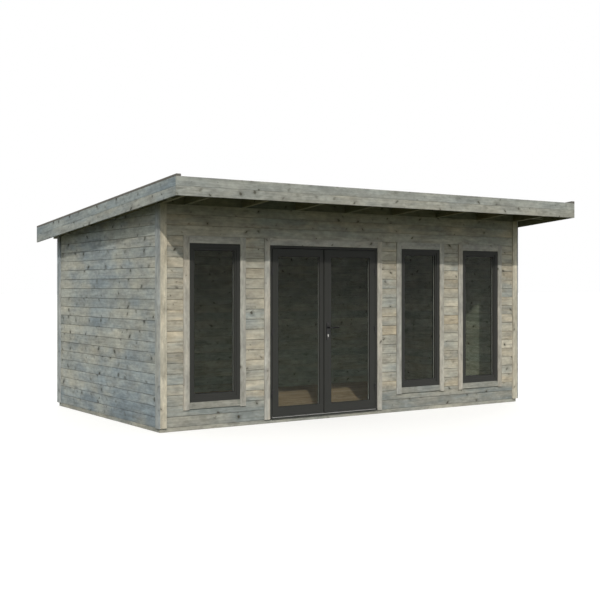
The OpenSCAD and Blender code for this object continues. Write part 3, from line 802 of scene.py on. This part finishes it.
# Glazing: two clear panes a frame, held apart by a bright aluminium spacer round the edge and bedded in a
# black seal inside and out. They let sun and sky into the room, so they are clear to scattered light too.
glass = bpy.data.materials.new("clear glazing")
glass.use_nodes = True
tree = glass.node_tree
pane = tree.nodes["Principled BSDF"]
pane.inputs["Base Color"].default_value = paint(237, 243, 240)
pane.inputs["Roughness"].default_value = 0.0
pane.inputs["IOR"].default_value = 1.14
pane.inputs["Transmission Weight"].default_value = 1.0
clear = add_node(tree, "ShaderNodeBsdfTransparent", {"Color": paint(240, 240, 238)})
path = add_node(tree, "ShaderNodeLightPath").outputs
lit = pane.outputs[0]
for ray in ("Is Shadow Ray", "Is Diffuse Ray"):
    lit = add_node(tree, "ShaderNodeMixShader", {0: path[ray], 1: lit, 2: clear.outputs[0]}).outputs[0]
tree.links.new(lit, tree.nodes["Material Output"].inputs["Surface"])


def ring(name, low, high, width):
    """Upright frame of bars between two corners, with a width all round."""
    bpy.ops.object.select_all(action="DESELECT")
    bpy.ops.mesh.primitive_plane_add(size=1, rotation=(math.radians(90), 0, 0))
    piece = bpy.context.object
    piece.name = name
    piece.scale = (high.x - low.x, high.z - low.z, 1)
    piece.location = ((low.x + high.x) / 2, low.y, (low.z + high.z) / 2)
    bpy.ops.object.transform_apply(location=True, rotation=True, scale=True)
    pick_faces(piece, lambda centre, normal: True)
    bpy.ops.mesh.inset(thickness=width)
    bpy.ops.mesh.delete(type="FACE")
    bpy.ops.mesh.select_all(action="SELECT")
    bpy.ops.mesh.extrude_region_move(TRANSFORM_OT_translate={"value": (0, high.y - low.y, 0)})
    bpy.ops.mesh.select_all(action="SELECT")
    bpy.ops.mesh.normals_make_consistent(inside=False)
    leave_edit()
    return piece


spacer_metal = coat("spacer aluminium", paint(206, 208, 206), rough=0.5, grain=600, metallic=0.25)
rubber = coat("black seal", paint(18, 18, 19), rough=0.7, grain=1500, gloss=0.3)
pane_t = 0.004
rebate = 0.012
spacer_sight = 0.003
seal_w = 0.004
seal_proud = 0.002
glazed = [(window + "_glass", "house") for window in windows]
glazed += [("left_leaf_glass", "left_door"), ("right_leaf_glass", "right_door")]
for node, body in glazed:
    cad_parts[node].material_slots[0].material = glass
    low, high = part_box(node)
    inside = Vector((0, pane_t, 0))
    spacer = ring(node + "_spacer", low + inside, high - inside, rebate + spacer_sight)
    fix(spacer, spacer_metal, "threshold_metal", body)
    edge = Vector((rebate, 0, rebate))
    outer_low, outer_high = low + edge, high - edge
    outer_high.y = outer_low.y
    outer_low.y -= seal_proud
    inner_low, inner_high = low + edge, high - edge
    inner_low.y = inner_high.y
    inner_high.y += seal_proud
    seal = join(node + "_seal", [
        ring(node, outer_low, outer_high, seal_w), ring(node, inner_low, inner_high, seal_w),
    ])
    fix(seal, rubber, "frame_paint", body)


# Door frame: painted timber jambs and head with a stop behind the leaves, screwed to the wall boards,
# and a dark threshold under an aluminium cap with grip ribs.
door_frame_edge = 0.0015
for node in ("door_jambs", "door_head", "door_threshold"):
    door_frame = node_copy(node, node + "_painted")
    ease_edges(door_frame, door_frame_edge)
    fix(door_frame, anthracite, "frame_paint", "house", node)
cap_edge = 0.0006
aluminium = coat("mill aluminium", paint(186, 187, 186), rough=0.4, grain=700, metallic=0.7)
threshold_cap = node_copy("threshold_cap", "threshold_cap_folded")
ease_edges(threshold_cap, cap_edge, 1)
fix(threshold_cap, aluminium, "threshold_metal", "house", "threshold_cap")
rib_w = 0.003
rib_h = 0.0015
rib_step = 0.008
rib_count = 5
rib_reach = 0.030
low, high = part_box("threshold_cap")
ribs = []
for number in range(rib_count):
    y = high.y - rib_reach + number * rib_step - rib_w
    ribs.append(block("rib", (low.x, y, high.z - rib_h / 2), (high.x, y + rib_w, high.z + rib_h)))
threshold_ribs = join("threshold_ribs", ribs)
ease_edges(threshold_ribs, cap_edge, 1)
fix(threshold_ribs, aluminium, "threshold_metal", "house")


# Hinges: lift-off hinges of turned steel with a satin black coat, screwed to the jambs and the leaves.
# The pin and the lower knuckle stay on the jamb, and the upper knuckle swings with the leaf.
black_coat = coat("satin black metal", paint(24, 24, 25), rough=0.42, grain=1200, metallic=0.2)
for node in ("frame_hinges", "left_leaf_hinges", "right_leaf_hinges"):
    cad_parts[node].material_slots[0].material = black_coat


# Door leaves: painted stiles and rails round one tall pane each, with a cover strip over the seam.
# The right leaf carries the lock and swings first.
leaf_edge = 0.002
for node, body in (
    ("left_leaf", "left_door"), ("right_leaf", "right_door"), ("meeting_strip", "right_door"),
):
    leaf = node_copy(node, node + "_painted")
    ease_edges(leaf, leaf_edge)
    fix(leaf, anthracite, "frame_paint", body, node)


# Lock and lever: black steel plates screwed to both faces of the right leaf, a round lever on one spindle,
# and a bright profile cylinder below it with its key slot.
plate_edge = 0.002
lever_edge = 0.0015
for node, body, width in (
    ("handle_plates", "right_door", plate_edge), ("lever_handle", "lever", lever_edge),
):
    handle = node_copy(node, node + "_eased")
    ease_edges(handle, width)
    fix(handle, black_coat, "black_metal", body, node)
screw_end = 0.014
screw_rim = 0.0013
screw_recess = 0.0008
screw_head = bpy.data.objects.new("screw", nail_head.data.copy())
bpy.context.collection.objects.link(screw_head)
pick_faces(screw_head, looks_up)
bpy.ops.mesh.inset(thickness=screw_rim)
bpy.ops.mesh.extrude_region_move(TRANSFORM_OT_translate={"value": (0, 0, -screw_recess)})
leave_edit()
low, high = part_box("handle_plates")
screws = []
for z in (low.z + screw_end, high.z - screw_end):
    for y, way in ((low.y, -1), (high.y, 1)):
        screws.append((((low.x + high.x) / 2, y, z), (0, way, 0)))
drive("plate_screws", screw_head, screws, nail_steel, "bright_steel", "right_door")
bpy.data.objects.remove(screw_head)
cylinder_edge = 0.001
steel = coat("brushed steel", paint(210, 208, 202), rough=0.28, grain=1400, metallic=1.0)
cylinder = node_copy("lock_cylinder", "lock_cylinder_turned")
ease_edges(cylinder, cylinder_edge)
fix(cylinder, steel, "bright_steel", "right_door", "lock_cylinder")
slot_w = 0.0022
slot_h = 0.009
slot_d = 0.0004
slot_edge = 0.0001
low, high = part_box("lock_cylinder")
barrel_r = (high.x - low.x) / 2
slots = []
for y in (low.y - slot_d / 2, high.y - slot_d / 2):
    slot_low = Vector((low.x + barrel_r - slot_w / 2, y, high.z - barrel_r - slot_h / 2))
    slots.append(block("slot", slot_low, slot_low + Vector((slot_w, slot_d, slot_h))))
key_slots = join("key_slots", slots)
ease_edges(key_slots, slot_edge, 1)
fix(key_slots, rubber, "black_metal", "right_door")


# Rafters: planed joists that run from front to back over the walls and out under the eaves,
# with short outlookers to the side fascias and infill boards between them over the walls.
pitch = math.degrees(math.atan2(pitch_up.y, pitch_up.z))
down_slope = (pitch - 90, -90, 0)
roof_tones = {
    "Pale": paint(124, 124, 100), "Warm": paint(128, 122, 95), "Cool": paint(108, 113, 96),
    "Dark": paint(52, 46, 34),
}
# The boards between the rafters get darker tones than the wall boards: painted shade for the deep shade
# under the eaves.
infill_painted_shade_tones = {
    "Pale": paint(130, 134, 120), "Warm": paint(134, 132, 114), "Cool": paint(112, 119, 115),
    "Dark": paint(50, 49, 40),
}
rafter_edge = 0.003
for node, turn in (("rafters", down_slope), ("outlookers", along_x)):
    rafters = node_copy(node, node + "_planed")
    ease_edges(rafters, rafter_edge)
    number_boards(rafters)
    planed = timber(node, turn, roof_tones, knot_size=0.014, knot_share=0.4)
    fix(rafters, planed, "roof_timber", "house", node)
infill_edge = 0.002
infill = node_copy("eaves_infill", "eaves_infill_boards")
ease_edges(infill, infill_edge)
number_boards(infill)
infill_painted_shade = timber("boards between the rafters", along_x, infill_painted_shade_tones)
fix(infill, infill_painted_shade, "wall_boards", "house", "eaves_infill")


# Roof boards: tongued boards nailed across the rafters, chamfered along their lower edges.
# Their planed side shows under the eaves and in the room.
def slope_back(piece, y_split, fall):
    """Lowers the back edge of a level piece, so that it lies along the pitch."""
    pick_faces(piece, lambda centre, normal: normal.y > square_on and centre.y > y_split)
    bpy.ops.transform.translate(value=(0, 0, -fall))
    leave_edit()


fall_share = pitch_up.y / pitch_up.z
roof_board_w = 0.1
roof_board_gap = 0.001
roof_chamfer = 0.004
low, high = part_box("roof_deck")
rows = round((high.y - low.y) / roof_board_w)
row_w = (high.y - low.y) / rows
deck_t = high.z - low.z - (high.y - low.y) * fall_share
board_w = row_w - roof_board_gap
roof_boards = block("roof_boards", (low.x, low.y, high.z - deck_t), (high.x, low.y + board_w, high.z))
middle_z = high.z - deck_t / 2
pick_edges(roof_boards, lambda a, b: abs(a.x - b.x) > roof_chamfer and max(a.z, b.z) < middle_z)
bpy.ops.mesh.bevel(offset=roof_chamfer, segments=1)
leave_edit()
slope_back(roof_boards, low.y, board_w * fall_share)
apply_modifier(
    roof_boards, "ARRAY", count=rows, use_relative_offset=False, use_constant_offset=True,
    constant_offset_displace=(0, row_w, -row_w * fall_share),
)
number_boards(roof_boards)
planed_deck = timber("roof boards", flat_along_x, roof_tones, knot_share=0.45)
fix(roof_boards, planed_deck, "roof_timber", "house", "roof_deck")


# Roofing felt: mineral-faced bitumen sheets laid across the fall from the back edge up,
# each lapped over the one below.
felt = bpy.data.materials.new("mineral felt")
felt.use_nodes = True
tree = felt.node_tree
surface = tree.nodes["Principled BSDF"]
own = add_node(tree, "ShaderNodeTexCoord").outputs["Object"]
granules = remap(tree, cloud(tree, own, (420, 420, 420), 2.0), 0.35, 0.65)
worn = remap(tree, cloud(tree, own, (1.1, 3.0, 1.0), 5.0), 0.35, 0.7)
rain = remap(tree, cloud(tree, own, (9.0, 0.8, 1.0), 3.0), 0.45, 0.75)
sheet_number = add_node(tree, "ShaderNodeAttribute", attribute_name="board").outputs["Fac"]
chance = add_node(tree, "ShaderNodeTexWhiteNoise", {"W": sheet_number}, noise_dimensions="1D")
batch = chance.outputs["Value"]
felt_tone = mix(tree, granules, paint(62, 63, 66), paint(104, 105, 107))
for mask, strength, tone in (
    (worn, 0.2, paint(112, 112, 110)), (rain, 0.15, paint(60, 61, 62)), (batch, 0.25, paint(98, 100, 106)),
):
    felt_tone = mix(tree, math_node(tree, "MULTIPLY", mask, strength), felt_tone, tone)
tree.links.new(felt_tone, surface.inputs["Base Color"])
tree.links.new(remap(tree, worn, 0.0, 1.0, 0.95, 0.82), surface.inputs["Roughness"])
grit = add_node(tree, "ShaderNodeBump", {"Height": granules, "Strength": 0.6, "Distance": 0.0008})
tree.links.new(grit.outputs[0], surface.inputs["Normal"])
surface.inputs["Specular IOR Level"].default_value = 0.2
sheet_w = 1.0
sheet_t = 0.004
lap = 0.08
lap_rise = 0.003
low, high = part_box("roof_felt")
sheets = math.ceil((high.y - low.y - lap) / (sheet_w - lap))
sheet_step = (high.y - low.y - lap) / sheets
felt_sheets = []
for number in range(sheets):
    y0 = low.y + number * sheet_step
    y1 = y0 + sheet_step + lap
    top = high.z - (y0 - low.y) * fall_share
    sheet = block("felt", (low.x, y0, top - sheet_t), (high.x, y1, top))
    rise = 0.0 if number == sheets - 1 else lap_rise
    slope_back(sheet, y0, (y1 - y0) * fall_share - rise)
    felt_sheets.append(sheet)
felt_roof = join("felt_sheets", felt_sheets)
number_boards(felt_roof)
fix(felt_roof, felt, "roof_felt", "house", "roof_felt")


# Fascias: two planed boards, one above the other, nailed to the ends of the rafters and outlookers,
# and stained like the walls. Along the back only the upper board is there, where the water runs off.
fascia_gap = 0.001
fascia_edge = 0.0018
fascia_nail_shares = (0.24, 0.76)
inner_reach = 0.9
fascia_tones = {
    "Pale": paint(149, 151, 145), "Warm": paint(151, 149, 139), "Cool": paint(137, 143, 143),
    "Dark": paint(62, 60, 50),
}
slope_tones = {
    "Pale": paint(160, 165, 161), "Warm": paint(163, 161, 151), "Cool": paint(124, 137, 146),
    "Dark": paint(56, 57, 52),
}
trim_down_slope = timber(
    "fascia down the slope", down_slope, slope_tones, knot_size=0.017, knot_share=0.85
)
trim_on_front = timber("fascia along the front", along_x, fascia_tones, knot_size=0.017, knot_share=0.85)
bare_back = timber("bare back of the fascias", down_slope, roof_tones, knot_size=0.012, knot_share=0.3)


def looks_inward(centre, normal):
    """True for a face that looks towards the middle of the house."""
    return normal.xy.dot(centre.xy) < -inner_reach


fascia_nails = []
for node, material in (
    ("front_fascia", trim_on_front), ("back_fascia", trim_on_front), ("side_fascias", trim_down_slope),
):
    fascia_boards = []
    for low, high in node_boxes(node):
        out = 0 if high.y - low.y > high.x - low.x else 1
        if low[out] < 0:
            low[out] += nail_proud
        else:
            high[out] -= nail_proud
        facing = Vector((0, 0, 0))
        facing[out] = -1 if low[out] < 0 else 1
        fall = (high.y - low.y) * fall_share
        height = high.z - low.z - fall
        foot = high.z - height
        split = foot + height / 2
        courses = [(foot, split - fascia_gap / 2), (split + fascia_gap / 2, high.z)]
        if node == "back_fascia":
            del courses[0]
        for z0, z1 in courses:
            board = block(node, (low.x, low.y, z0), (high.x, high.y, z1))
            slope_back(board, low.y, fall)
            fascia_boards.append(board)
            for end_low, end_high in node_boxes("outlookers" if out == 0 else "rafters"):
                if out == 0 and end_low.x * low.x < 0:
                    continue
                spot = (end_low + end_high) / 2
                spot[out] = low[out] if low[out] < 0 else high[out]
                for share in fascia_nail_shares:
                    spot.z = z0 + (z1 - z0) * share - max(spot.y - low.y, 0) * fall_share
                    fascia_nails.append((spot.copy(), facing))
    fascia = join(node + "_boards", fascia_boards)
    ease_edges(fascia, fascia_edge)
    number_boards(fascia)
    fix(fascia, material, "trim_boards", "house", node)
    add_second_finish(fascia, bare_back, looks_inward)
drive("fascia_nails", nail_head, fascia_nails, nail_steel, "bright_steel", "house")
bpy.data.objects.remove(nail_head)


# Edge strips: dark grey battens along the two sloping edges of the roof, which hold the felt down.
# They are planed softwood with an opaque coat, nailed through the felt.
strip_edge = 0.003
strip_coat = coat("grey batten", paint(104, 102, 98), rough=0.75, grain=500, gloss=0.3)
strips = node_copy("edge_strips", "edge_strips_eased")
ease_edges(strips, strip_edge)
fix(strips, strip_coat, "roof_edge", "house", "edge_strips")


# Sizes: the solids' box and the finished model's box, side by side,
# because the finish adds nothing to the size of the house.
boxes = {"cad": cad_box, "visual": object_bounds()}
